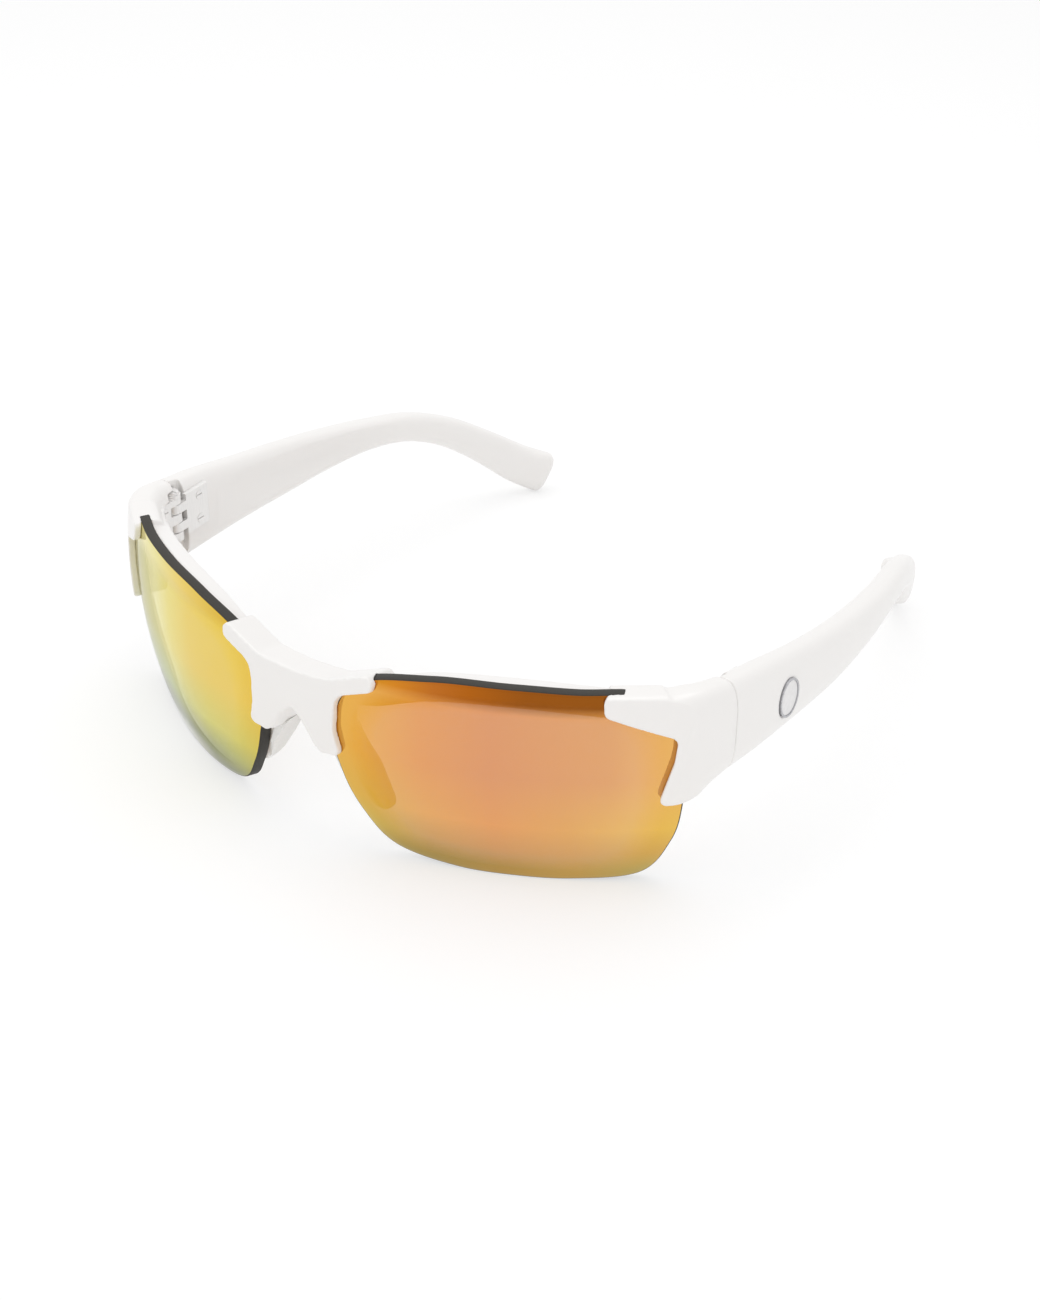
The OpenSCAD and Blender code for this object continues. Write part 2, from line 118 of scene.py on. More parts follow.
# Middle line of an end piece and its temple, as (out, back, up, half height, half thickness, squareness).
ARM_STATIONS = [(49.8, 15.9, 29.7, 11.6, 4.0, 5.0), (53.6, 18.4, 29.7, 11.6, 4.0, 5.0),
                (58.2, 22.1, 29.7, 11.6, 4.0, 4.6), (62.5, 26.1, 29.6, 11.5, 3.9, 4.2),
                (65.1, 29.7, 30.4, 10.6, 3.7, 3.7), (66.2, 33.0, 30.6, 9.9, 3.5, 3.2),
                (66.9, 38.0, 30.4, 9.2, 3.4, 3.0), (67.7, 46.0, 29.9, 8.7, 3.4, 2.8),
                (68.5, 60.0, 28.9, 7.4, 3.3, 2.6), (68.7, 74.0, 28.1, 6.3, 3.2, 2.6),
                (67.9, 88.0, 27.7, 4.9, 3.1, 2.6), (66.1, 101.0, 27.1, 3.7, 2.9, 2.6),
                (63.5, 113.0, 25.4, 3.4, 2.7, 2.6), (60.3, 124.0, 21.1, 3.6, 2.6, 2.6),
                (56.6, 134.0, 14.6, 4.1, 2.5, 2.6), (52.6, 142.3, 8.2, 4.8, 2.4, 2.8),
                (48.4, 147.0, 5.2, 5.2, 2.2, 3.0)]
SEAM_STATION = 6  # an end piece meets its temple between this station and the one before
GROOVE = (50, 108, 1.5)  # start, end and depth of the groove inside a temple
GROOVE_HALF_HEIGHT = 0.72  # as a share of the temple's
GROOVE_EDGE = 1.5  # how softly the groove's edges run out
GROOVE_END = 0.8  # how softly its ends run out
TIP_STEPS = [(0.45, 0.97), (0.8, 0.86), (1.0, 0.66)]  # share of the tip's length, and size there
TIP_LENGTH = 2.2
SEAM_GAP = 0.12  # between an end piece and its temple
FIT = 0.03  # the air round a piece that is let in

# Where the lens front, the hinges and the badges are in the frame.
front_y = cad_box[0][1] / MM + COVER_PROUD
hinge_low, hinge_high = (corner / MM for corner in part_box("hinge_screw_left"))
HINGE_X = (hinge_low.x + hinge_high.x) / 2
HINGE_Y = (hinge_low.y + hinge_high.y) / 2 - front_y
leaf_low, leaf_high = (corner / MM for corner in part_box("front_hinge_leaf_left"))
badge_low, badge_high = (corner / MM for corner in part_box("badge_plate_left"))
END_BACK = HINGE_Y + 0.05  # the back of an end piece

# Room for the hinges.
BARREL_ROOM = 2.15  # radius
BARREL_BELOW = 0.2
BARREL_ABOVE = 0.3
SWING_REACH = 8.0
SWING_HALF_DEPTH = 2.3
TURNING_ROOM = (3, 1)  # that a temple leaves round the hinge's axis, along its length and outwards
LEAF_TRIM = 0.7  # a leaf's plate stops this far short of its barrel's ends
FRONT_PLATE_THICKNESS = 1.1
TEMPLE_PLATE_TURN = math.radians(-6)
TEMPLE_PLATE_SIDES = (-1.9, -0.8)  # from the hinge's axis
TEMPLE_PLATE_ENDS = (2.3, 9.5)

# The seat of a badge: the temple's middle and half thickness there, its turn and the badge's sizes.
BADGE_X = 68.2
BADGE_TURN = math.radians(-3.3)
BADGE_WIDTH = 6.2
BADGE_HEIGHT = 8.0
BADGE_FACE = 3.35
BADGE_DEPTH = 0.6

# Voxel size and passes of smoothing for each moulding.
MIDDLE_MOULD = (0.25, 12)
END_MOULD = (0.2, 4)
FRONT_MOULD = (0.2, 4)
TEMPLE_MOULD = (0.22, 4)


# ---- Materials ----

NOISE_LOW = 0.3  # most of a noise's values lie above this
NOISE_HIGH = 0.7  # and below this


class Nodes:
    """A short way to write a material's nodes."""

    def __init__(self, name):
        self.material = bpy.data.materials.new(name)
        self.material.use_nodes = True
        self.tree = self.material.node_tree
        self.shader = self.tree.nodes["Principled BSDF"]

    def add(self, kind, **inputs):
        node = self.tree.nodes.new(kind)
        for name, value in inputs.items():
            self.put(node, name, value)
        return node

    def put(self, node, name, value):
        socket = node.inputs[name.replace("_", " ")]
        if isinstance(value, bpy.types.NodeSocket):
            self.tree.links.new(value, socket)
        else:
            socket.default_value = value

    def set(self, **inputs):
        for name, value in inputs.items():
            self.put(self.shader, name, value)

    def position(self):
        return self.add("ShaderNodeTexCoord").outputs["Object"]

    def noise(self, scale, detail=3.0):
        return self.add("ShaderNodeTexNoise", Vector=self.position(), Scale=scale,
                        Detail=detail).outputs["Fac"]

    def ramp(self, factor, stops):
        node = self.add("ShaderNodeValToRGB", Fac=factor)
        elements = node.color_ramp.elements
        while len(elements) < len(stops):
            elements.new(0.5)
        for element, (place, colour) in zip(elements, stops):
            element.position = place
            element.color = (*colour, 1.0)
        return node.outputs["Color"]

    def mix(self, factor, first, second):
        node = self.tree.nodes.new("ShaderNodeMix")
        node.data_type = "RGBA"
        for socket, value in ((node.inputs[0], factor), (node.inputs[6], first), (node.inputs[7], second)):
            if isinstance(value, bpy.types.NodeSocket):
                self.tree.links.new(value, socket)
            else:
                socket.default_value = (*value, 1.0) if isinstance(value, tuple) else value
        return node.outputs[2]

    def map_range(self, value, low, high, to_low=0.0, to_high=1.0):
        node = self.add("ShaderNodeMapRange", Value=value)
        node.inputs["From Min"].default_value = low
        node.inputs["From Max"].default_value = high
        node.inputs["To Min"].default_value = to_low
        node.inputs["To Max"].default_value = to_high
        return node.outputs["Result"]

    def tones(self, noise, dark, light):
        """A colour between two, by a noise."""
        return self.ramp(noise, [(NOISE_LOW, dark), (NOISE_HIGH, light)])

    def spread(self, noise, low, high):
        """A number between two, by a noise."""
        return self.map_range(noise, NOISE_LOW, NOISE_HIGH, low, high)

    def bump(self, height, distance, strength):
        node = self.add("ShaderNodeBump", Height=height, Distance=distance, Strength=strength)
        self.tree.links.new(node.outputs["Normal"], self.shader.inputs["Normal"])


def white_plastic():
    m = Nodes("white_gloss_plastic")
    cloud = m.noise(25.0, 1.0)
    speck = m.noise(1400.0, 2.0)
    colour = m.ramp(cloud, [(0.0, (0.830, 0.813, 0.797)), (1.0, (0.842, 0.825, 0.809))])
    m.set(Base_Color=colour, Roughness=m.map_range(cloud, 0.0, 1.0, 0.29, 0.32), IOR=1.5,
          Coat_Weight=0.15, Coat_Roughness=0.12)
    m.bump(speck, distance=0.02 * MM, strength=0.35)
    return m.material


# The mirror's colours over both lenses, in rows of (sideways in mm, colour) at heights in mm. The last
# row is the dark band along the top, which is painted shade of the shaded brow bar behind the lens.
MIRROR_AND_SHADE_ROWS = [
    (2.5, [(-40, (0.60, 0.64, 0.58)), (-34, (0.34, 0.38, 0.26)), (-28, (0.12, 0.18, 0.06)),
           (-18, (0.18, 0.24, 0.08)), (18, (0.42, 0.30, 0.02)), (26, (0.40, 0.26, 0.01)),
           (38, (0.49, 0.27, 0.00)), (50, (0.60, 0.34, 0.02)), (60, (0.55, 0.42, 0.07))]),
    (7, [(-40, (0.58, 0.62, 0.42)), (-34, (0.40, 0.41, 0.12)), (-28, (0.38, 0.40, 0.02)),
         (-18, (0.46, 0.49, 0.07)), (14, (0.66, 0.48, 0.03)), (26, (0.68, 0.32, 0.00)),
         (38, (0.72, 0.29, 0.00)), (50, (0.75, 0.34, 0.00)), (60, (0.76, 0.42, 0.03))]),
    (13, [(-42, (0.82, 0.90, 0.48)), (-34, (0.70, 0.68, 0.09)), (-26, (0.72, 0.67, 0.00)),
          (-16, (0.74, 0.65, 0.03)), (14, (0.82, 0.45, 0.00)), (26, (0.89, 0.38, 0.00)),
          (38, (0.89, 0.32, 0.00)), (50, (0.88, 0.39, 0.00)), (64, (0.95, 0.56, 0.03))]),
    (24, [(-44, (0.86, 0.80, 0.24)), (-38, (0.86, 0.72, 0.06)), (-30, (0.88, 0.63, 0.00)),
          (-16, (0.90, 0.62, 0.00)), (14, (0.90, 0.41, 0.00)), (26, (0.84, 0.29, 0.00)),
          (38, (0.77, 0.25, 0.02)), (56, (0.80, 0.31, 0.03)), (64, (0.92, 0.45, 0.06))]),
    (38.6, [(-44, (0.78, 0.70, 0.25)), (-32, (0.79, 0.58, 0.12)), (-18, (0.69, 0.45, 0.05)),
            (14, (0.68, 0.30, 0.02)), (21, (0.64, 0.23, 0.02)), (28, (0.50, 0.15, 0.02)),
            (34, (0.43, 0.12, 0.01)), (43, (0.31, 0.09, 0.01)), (60, (0.29, 0.09, 0.01))]),
]
MIRROR_REACH = 70  # the rows' stops lie this far out at most
TOP_SHADE_BAND = 2.0  # the height over which the dark band of painted shade comes in
MIRROR_ALPHA = 0.70
RIM_PAINTED_SHOW_THROUGH = (0.50, 0.40, 0.28)  # painted light: mixed in at the rim, which is opaque, to stand for the light that shows through the lens elsewhere
RIM_PAINTED_SHOW_THROUGH_SHARE = 0.3


def mirror_coat():
    """The mirror goes from yellow to orange across both lenses, and to green and brown at their foot. The
    dark band along the top is painted shade of the brow bar behind the lens.
    """
    m = Nodes("mirror_coat")
    parts = m.add("ShaderNodeSeparateXYZ", Vector=m.position()).outputs
    across = m.map_range(parts["X"], -MIRROR_REACH * MM, MIRROR_REACH * MM)
    rows = [(height, m.ramp(across, [((x + MIRROR_REACH) / (2 * MIRROR_REACH), tone) for x, tone in stops]))
            for height, stops in MIRROR_AND_SHADE_ROWS]
    below, colour = rows[0]
    for height, row in rows[1:-1]:
        colour = m.mix(m.map_range(parts["Z"], below * MM, height * MM), colour, row)
        below = height
    attribute = m.add("ShaderNodeAttribute")
    attribute.attribute_name = "rim"
    rim = attribute.outputs["Fac"]
    # Painted light: the opaque rim gets a colour for the light that shows through the lens elsewhere.
    colour = m.mix(m.map_range(rim, 0.0, 1.0, 0.0, RIM_PAINTED_SHOW_THROUGH_SHARE), colour, RIM_PAINTED_SHOW_THROUGH)
    # Painted shade: the dark band along the top of each lens stands in for the shaded brow bar behind it.
    height, row = rows[-1]
    colour = m.mix(m.map_range(parts["Z"], (height - TOP_SHADE_BAND) * MM, height * MM), colour, row)
    m.set(Base_Color=colour, Metallic=1.0, Roughness=m.spread(m.noise(900.0), 0.06, 0.09),
          Alpha=m.map_range(rim, 0.0, 1.0, MIRROR_ALPHA, 1.0))
    return m.material


def lens_back():
    m = Nodes("smoke_lens_back")
    haze = m.noise(80.0)
    m.set(Base_Color=m.tones(haze, (0.34, 0.15, 0.05), (0.38, 0.17, 0.06)), Roughness=0.06, Alpha=0.5)
    return m.material


def lens_edge():
    m = Nodes("lens_cut_edge")
    grain = m.noise(2500.0)
    m.set(Base_Color=m.tones(grain, (0.022, 0.020, 0.017), (0.040, 0.036, 0.030)),
          Roughness=m.spread(grain, 0.5, 0.65), Specular_IOR_Level=0.3)
    m.bump(grain, distance=0.03 * MM, strength=0.4)
    return m.material


def soft_rubber():
    m = Nodes("soft_pad")
    grain = m.noise(1800.0)
    m.set(Base_Color=m.tones(grain, (0.80, 0.79, 0.77), (0.85, 0.84, 0.82)), Roughness=0.6)
    m.bump(grain, distance=0.04 * MM, strength=0.5)
    return m.material


def hinge_steel():
    m = Nodes("hinge_steel")
    stretch = m.add("ShaderNodeMapping", Vector=m.position(), Scale=(9000, 9000, 300))
    streak = m.add("ShaderNodeTexNoise", Vector=stretch.outputs["Vector"], Scale=1.0).outputs["Fac"]
    m.set(Base_Color=m.tones(streak, (0.78, 0.77, 0.76), (0.86, 0.85, 0.84)), Metallic=0.6,
          Roughness=m.spread(streak, 0.38, 0.5))
    return m.material


def badge_metal():
    m = Nodes("badge_rim")
    grain = m.noise(3000.0)
    m.set(Base_Color=m.tones(grain, (0.42, 0.42, 0.44), (0.52, 0.52, 0.54)), Metallic=0.8,
          Roughness=m.spread(grain, 0.25, 0.35))
    return m.material


def badge_enamel():
    m = Nodes("badge_plate")
    grain = m.noise(1200.0)
    m.set(Base_Color=m.tones(grain, (0.72, 0.71, 0.71), (0.78, 0.77, 0.77)), Roughness=0.35,
          Coat_Weight=0.4)
    return m.material


# ---- Mesh helpers: everything is drawn in millimetres, for the wearer's left side ----

def new_object(name, data):
    obj = bpy.data.objects.new(name, data)
    bpy.context.scene.collection.objects.link(obj)
    return obj


def smooth_shading(mesh):
    for face in mesh.polygons:
        face.use_smooth = True


def apply_modifiers(obj):
    graph = bpy.context.evaluated_depsgraph_get()
    mesh = bpy.data.meshes.new_from_object(obj.evaluated_get(graph))
    obj.modifiers.clear()
    obj.data = mesh
    return obj


def spline(points, steps, closed=False):
    """A smooth curve through points of any number of coordinates."""
    points = [Vector(p) for p in points]
    count = len(points)
    curve = []
    for i in range(count if closed else count - 1):
        if closed:
            a, b, c, d = (points[(i + k) % count] for k in (-1, 0, 1, 2))
        else:
            a, b, c, d = (points[min(max(i + k, 0), count - 1)] for k in (-1, 0, 1, 2))
        for s in range(steps):
            t = s / steps
            curve.append(0.5 * (2 * b + (c - a) * t + (2 * a - 5 * b + 4 * c - d) * t ** 2
                                + (3 * b - a - 3 * c + d) * t ** 3))
    if not closed:
        curve.append(points[-1])
    return curve


def rounded(corners, steps=8):
    """An outline of (x, y, radius) corners, each rounded by an arc."""
    outline = []
    count = len(corners)
    for i, corner in enumerate(corners):
        here = Vector(corner[:2])
        before = (Vector(corners[i - 1][:2]) - here).normalized()
        after = (Vector(corners[(i + 1) % count][:2]) - here).normalized()
        half = before.angle(after) / 2
        centre = here + (before + after).normalized() * corner[2] / math.sin(half)
        reach = corner[2] / math.tan(half)
        first = here + before * reach - centre
        sweep = first.angle_signed(here + after * reach - centre)
        for step in range(steps + 1):
            spoke = first.copy()
            spoke.rotate(Matrix.Rotation(-sweep * step / steps, 2))
            outline.append(centre + spoke)
    return outline


def skin(rings):
    """A closed solid through rings that all have the same number of points."""
    work = bmesh.new()
    corners = [[work.verts.new(p) for p in ring] for ring in rings]
    count = len(rings[0])
    for lower, upper in zip(corners, corners[1:]):
        for i in range(count):
            j = (i + 1) % count
            work.faces.new((lower[i], lower[j], upper[j], upper[i]))
    for ring in (corners[0][::-1], corners[-1]):
        work.faces.new(ring)
    bmesh.ops.recalc_face_normals(work, faces=work.faces)
    mesh = bpy.data.meshes.new("skin")
    work.to_mesh(mesh)
    work.free()
    return new_object("skin", mesh)


def prism(outline, low, high, place=Matrix()):
    """A straight solid of the outline's shape, from height low to high of the given place."""
    return skin([[place @ Vector((p[0], p[1], h)) for p in outline] for h in (low, high)])


def block(low, high, place=Matrix()):
    corners = [(low[0], low[1]), (high[0], low[1]), (high[0], high[1]), (low[0], high[1])]
    return prism(corners, low[2], high[2], place)


def circle(radius, x=0.0, y=0.0, steps=64):
    return [(x + radius * math.cos(2 * math.pi * i / steps), y + radius * math.sin(2 * math.pi * i / steps))
            for i in range(steps)]


def combine(base, operation, *tools):
    """Unites, cuts or intersects a solid with others, which are used up."""
    for tool in tools:
        change = base.modifiers.new("combine", "BOOLEAN")
        change.operation = operation
        change.solver = "MANIFOLD"
        change.object = tool
        apply_modifiers(base)
        bpy.data.objects.remove(tool)
    return base


def moulded(obj, voxel, passes):
    """Rounds every edge of a solid, as a moulding's are: more passes round it more.

    Away from the edges the points go back onto the solid's own faces, which keeps these true."""
    source = BVHTree.FromObject(obj, bpy.context.evaluated_depsgraph_get())
    remesh = obj.modifiers.new("remesh", "REMESH")
    remesh.mode = "VOXEL"
    remesh.voxel_size = voxel
    smooth = obj.modifiers.new("smooth", "SMOOTH")
    smooth.factor = 0.5
    smooth.iterations = passes
    apply_modifiers(obj)
    near, far = 0.2 * voxel, 0.6 * voxel
    for vertex in obj.data.vertices:
        place, _, _, distance = source.find_nearest(vertex.co, far)
        if place is not None:
            share = min(1.0, (far - distance) / (far - near))
            vertex.co = vertex.co.lerp(place, share)
    even = obj.modifiers.new("even", "SMOOTH")
    even.factor = 0.5
    even.iterations = 2
    return apply_modifiers(obj)


def as_it_is(obj):
    """The solid on the wearer's left side, where it was drawn."""
    return obj


def mirrored(obj, keep=False):
    """The solid as it is on the wearer's right side, instead of or as well as the one given."""
    work = bmesh.new()
    work.from_mesh(obj.data)
    bmesh.ops.scale(work, verts=work.verts, vec=(-1, 1, 1))
    bmesh.ops.reverse_faces(work, faces=work.faces)
    mesh = bpy.data.meshes.new("mirrored")
    work.to_mesh(mesh)
    work.free()
    if not keep:
        bpy.data.objects.remove(obj)
    return new_object("mirrored", mesh)


def finished(obj, name, body, node, slot, *materials):
    """Puts a solid in the frame in metres, and lets it stand for a CAD node."""
    obj.name = name
    obj.data.name = name
    obj.data.transform(Matrix.Scale(MM, 4) @ Matrix.Translation((0, front_y, 0)))
    smooth_shading(obj.data)
    while len(obj.data.materials) < len(materials):
        obj.data.materials.append(None)
    for slot_number, material in enumerate(materials):
        obj.data.materials[slot_number] = material
    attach(obj, body)
    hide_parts(node)


def paint(material, *stems):
    """Gives the left and right CAD nodes of these names a material."""
    for stem in stems:
        for word in ("left", "right"):
            data = frame["nodes"][f"{stem}_{word}"].data
            data.materials.clear()
            data.materials.append(material)


# ---- Lenses ----

EDGE_ROUND = 0.18
EDGE_SHARE = 0.3  # of the rounding, at the ring halfway round it
RIM_SOLID = 2  # rings of faces in from the edge where the mirror lets nothing through
RIM_FADE = 6  # rings in where it lets through as much as it does further in
LENS_MIDDLE = Vector((0.0, -6.0))
LENS_HALF_SIZE = 25  # about, so that a lens's room can grow by the gap


def on_ball(u, v, depth):
    """The point at (u, v) of a lens outline, depth behind the front of the lens."""
    radius = LENS_RADIUS - depth
    w = math.sqrt(radius ** 2 - u ** 2 - v ** 2)
    x = u * math.cos(LENS_TURN) + w * math.sin(LENS_TURN)
    y = u * math.sin(LENS_TURN) - w * math.cos(LENS_TURN)
    return Vector((x + LENS_OFFSET, y + LENS_RADIUS, v + LENS_HEIGHT))


def inset(loop, amount):
    """A loop moved inwards by amount."""
    count = len(loop)
    moved = []
    for i, point in enumerate(loop):
        along = (loop[(i + 1) % count] - loop[i - 1]).normalized()
        moved.append(point + Vector((-along.y, along.x)) * amount)
    return moved


def filled(loop, depth, fills=24):
    """Rings that fill a loop on the ball, from its middle out."""
    return [[on_ball(*(LENS_MIDDLE + (p - LENS_MIDDLE) * step / fills), depth) for p in loop]
            for step in range(1, fills + 1)]


def lens():
    """A lens with slightly rounded edges. Its faces' slots are front, back and edge.

    The attribute named rim is 1 at the front's edge and fades to 0 further in."""
    outline = spline(LENS_OUTLINE, 16, closed=True)
    inner = inset(outline, EDGE_ROUND)
    nearly = inset(outline, EDGE_ROUND * EDGE_SHARE)
    front = filled(inner, 0.0)
    edge = [[on_ball(*p, depth) for p in loop] for loop, depth in
            ((nearly, EDGE_ROUND * EDGE_SHARE), (outline, EDGE_ROUND),
             (outline, LENS_THICKNESS - EDGE_ROUND), (nearly, LENS_THICKNESS - EDGE_ROUND * EDGE_SHARE))]
    back = filled(inner, LENS_THICKNESS)[::-1]
    obj = skin(front + edge + back)
    ring_faces = len(outline)
    for i, face in enumerate(obj.data.polygons):
        ring = i // ring_faces
        if ring < len(front) - 1:
            face.material_index = 0
        elif ring < len(front) + len(edge):
            face.material_index = 2
        else:
            face.material_index = 1
    front_cap = len(obj.data.polygons) - 2  # the last face of all is the back's
    obj.data.polygons[front_cap].material_index = 0
    rim = obj.data.attributes.new("rim", "FLOAT", "POINT")
    for i, value in enumerate(rim.data):
        steps_in = len(front) - 1 - i // ring_faces
        value.value = min(1.0, max(0.0, (RIM_FADE - steps_in) / (RIM_FADE - RIM_SOLID)))
    return obj


def lens_room():
    """The space that a lens takes in the frame, with its air gap."""
    outline = [p * (1 + GROOVE_GAP / LENS_HALF_SIZE) for p in spline(LENS_OUTLINE, 16, closed=True)]
    front = filled(outline, -GROOVE_GAP)
    back = filled(outline, LENS_THICKNESS + GROOVE_GAP)[::-1]
    return skin(front + back)


# ---- Front frame ----
# Here and in the temples, a number without a name only reaches past the part, in a solid that cuts another
# or is cut by it.

BALL_REACH = 50  # radius of the part of a ball that is used
AT_BALL = Matrix.Translation((LENS_OFFSET, LENS_RADIUS, LENS_HEIGHT))
LENS_AXIS = AT_BALL @ Matrix.Rotation(LENS_TURN, 4, "Z") @ Matrix.Rotation(math.pi / 2, 4, "X")
FACING = Matrix.Rotation(math.pi / 2, 4, "X")
SIDEWAYS = Matrix(((0, 0, 1, 0), (1, 0, 0, 0), (0, 1, 0, 0), (0, 0, 0, 1)))
MIDDLE_OVERLAP = 0.5  # how far one side's brow bar goes into the other's


def ball(radius):
    """A block whose front is the ball that a lens's front lies on, or one that shares its centre."""
    rim = [Vector(p) for p in circle(BALL_REACH, steps=320)]
    front = filled(rim, LENS_RADIUS - radius, fills=100)
    return skin(front + [[LENS_AXIS @ Vector((p.x, p.y, LENS_RADIUS / 3)) for p in rim]])


def ball_layer(solid, outer, inner):
    """The part of a solid between two balls."""
    return combine(combine(solid, "INTERSECT", ball(outer)), "DIFFERENCE", ball(inner))


def brow_bar():
    """The bar behind the top edge of a lens."""
    upper = spline(BAR_UPPER, 12)
    outline = upper + [p - Vector((0, BAR_HEIGHT)) for p in reversed(upper)]
    tilt = AT_BALL @ Matrix.Rotation(LENS_TURN, 4, "Z") @ Matrix.Rotation(math.pi / 2 - BAR_SLOPE, 4, "X")
    drop = Matrix.Translation((0, -BAR_FRONT * math.sin(BAR_SLOPE), 0))
    bar = prism(outline, LENS_RADIUS * 0.5, LENS_RADIUS * 1.1, tilt @ drop)
    side = block((-MIDDLE_OVERLAP, -5, 0), (80, 55, 60))
    return combine(ball_layer(bar, BAR_FRONT, BAR_BACK), "INTERSECT", side)


def nose_cover():
    """Half of the cover that laps over the inner top corners of the lenses."""
    outline = rounded(COVER_OUTLINE)
    tilt = (Matrix.Translation((0, 0, COVER_TILT_Z)) @ Matrix.Rotation(-COVER_SLOPE, 4, "X")
            @ Matrix.Translation((0, 0, -COVER_TILT_Z)))
    cover = prism(outline, -30, 6, tilt @ FACING)
    return ball_layer(cover, LENS_RADIUS + COVER_PROUD, BAR_BACK)


def saddle_x(z):
    """Where the face of the wall beside the nose is at a height."""
    return SADDLE_HALF_WIDTH + SADDLE_SPREAD * (SADDLE_TOP - z)


def saddle():
    """The wall beside the nose, whose inner side turns into an arch and whose outer side widens upwards."""
    inner = [(0, 34), (0, SADDLE_ARCH), (saddle_x(SADDLE_TOP), SADDLE_TOP),
             (saddle_x(SADDLE_FOOT), SADDLE_FOOT)]
    outer = [(saddle_x(SADDLE_FOOT) + SADDLE_WALL, SADDLE_FOOT),
             (saddle_x(SADDLE_KNEE) + SADDLE_WALL, SADDLE_KNEE),
             (saddle_x(SADDLE_SHOULDER) + SADDLE_WALL + SADDLE_FLARE, SADDLE_SHOULDER), (8.5, 34)]
    wall = prism(inner + outer, -14, 3, FACING)
    return combine(wall, "INTERSECT", prism(rounded(SADDLE_SIDE), -1, 30, SIDEWAYS))


def pad_room():
    """The space that a nose pad is let into, in the face of the wall."""
    layer = [(saddle_x(28) - 2, 28), (saddle_x(5) - 2, 5),
             (saddle_x(5) + PAD_SUNK + FIT, 5), (saddle_x(28) + PAD_SUNK + FIT, 28)]
    return combine(prism(layer, -14, 0, FACING), "INTERSECT", prism(rounded(PAD_SIDE), -1, 30, SIDEWAYS))


def section_point(angle, half_height, half_thick, power, dip):
    """A point of an arm's section, outwards and upwards. The groove is a dip on the head's side."""
    up = math.copysign(abs(math.sin(angle)) ** (2 / power), math.sin(angle))
    out = math.copysign(abs(math.cos(angle)) ** (2 / power), math.cos(angle))
    dent = dip * max(0.0, 1 - (up / GROOVE_HALF_HEIGHT) ** 2) ** GROOVE_EDGE if out < 0 else 0.0
    return half_thick * out + dent, half_height * up


def groove_at(y):
    """The groove's depth, which fades in and out at its ends."""
    start, end, depth = GROOVE
    if not start < y < end:
        return 0.0
    return depth * math.sin(math.pi * (y - start) / (end - start)) ** GROOVE_END


def arm_ring(place, along, half_height, half_thick, power, dip, points=96):
    """A ring of points round an arm's middle line, square to it."""
    out = Vector((along.y, -along.x, 0)).normalized()
    up = out.cross(along).normalized()
    ring = []
    for i in range(points):
        a, b = section_point(2 * math.pi * i / points, half_height, half_thick, power, dip)
        ring.append(place + out * a + up * b)
    return ring


def arm(first, last, steps=14):
    """An arm's rings from one station to another. At the last station of all it closes into a tip."""
    line = spline(ARM_STATIONS, steps)
    places = [Vector(p[:3]) for p in line]
    rings = []
    for i in range(first * steps, last * steps + 1):
        along = (places[min(i + 1, len(line) - 1)] - places[max(i - 1, 0)]).normalized()
        rings.append(arm_ring(places[i], along, *line[i][3:6], groove_at(line[i][1])))
    if last == len(ARM_STATIONS) - 1:
        for share, size in TIP_STEPS:
            half_height, half_thick, power = line[-1][3:6]
            place = places[-1] + along * TIP_LENGTH * share
            rings.append(arm_ring(place, along, half_height * size, half_thick * size, power, 0))
    return skin(rings)


def end_piece():
    """The outer end of the front, with the claw that laps over the lens's outer corners."""
    claw = prism(rounded(CLAW_OUTLINE), LENS_RADIUS * 0.5, LENS_RADIUS * 1.1, LENS_AXIS)
    return combine(claw, "INTERSECT", ball(LENS_RADIUS + COVER_PROUD), arm(0, SEAM_STATION),
                   block((0, -5, 0), (90, END_BACK, 60)))


def hinge_rooms():
    """The room that the hinge's barrel and its leaf swing in."""
    low, high = hinge_low.z - BARREL_BELOW, hinge_high.z + BARREL_ABOVE
    swing = block((HINGE_X - SWING_REACH, HINGE_Y - SWING_HALF_DEPTH, low),
                  (HINGE_X, HINGE_Y + SWING_HALF_DEPTH, high))
    return [prism(circle(BARREL_ROOM, HINGE_X, HINGE_Y), low, high), swing]


def front_leaf_pocket():
    """The pocket that the front leaf is laid in from the head's side."""
    deep = leaf_low.x + FRONT_PLATE_THICKNESS + FIT
    return block((deep - 9, leaf_low.y - front_y - FIT, leaf_low.z + LEAF_TRIM - FIT),
                 (deep, HINGE_Y, leaf_high.z - LEAF_TRIM + FIT))


def front_frame():
    """The whole front. Its middle is rounded more than its ends, and the cuts' edges least."""
    middle = combine(nose_cover(), "UNION", brow_bar(), saddle())
    middle = moulded(combine(middle, "UNION", mirrored(middle, keep=True)), *MIDDLE_MOULD)
    for place in (as_it_is, mirrored):
        end = place(moulded(end_piece(), *END_MOULD))
        cuts = [lens_room(), front_leaf_pocket(), pad_room(), *hinge_rooms()]
        combine(middle, "UNION", end)
        combine(middle, "DIFFERENCE", *(place(cut) for cut in cuts))
    return moulded(middle, *FRONT_MOULD)


# ---- Temples ----

def temple():
    """An arm from the seam to its tip, with room for the hinge, and seats for its leaf and the badge."""
    start = END_BACK + SEAM_GAP
    turning_room = block((HINGE_X - 6, HINGE_Y - TURNING_ROOM[0], 10),
                         (HINGE_X + TURNING_ROOM[1], HINGE_Y + TURNING_ROOM[0], 50))
    seam = block((50, start - 10, 10), (80, start, 50))
    return moulded(combine(arm(SEAM_STATION - 1, len(ARM_STATIONS) - 1), "DIFFERENCE", turning_room, seam,
                           temple_leaf_pocket(), *hinge_rooms(), badge_seat()), *TEMPLE_MOULD)


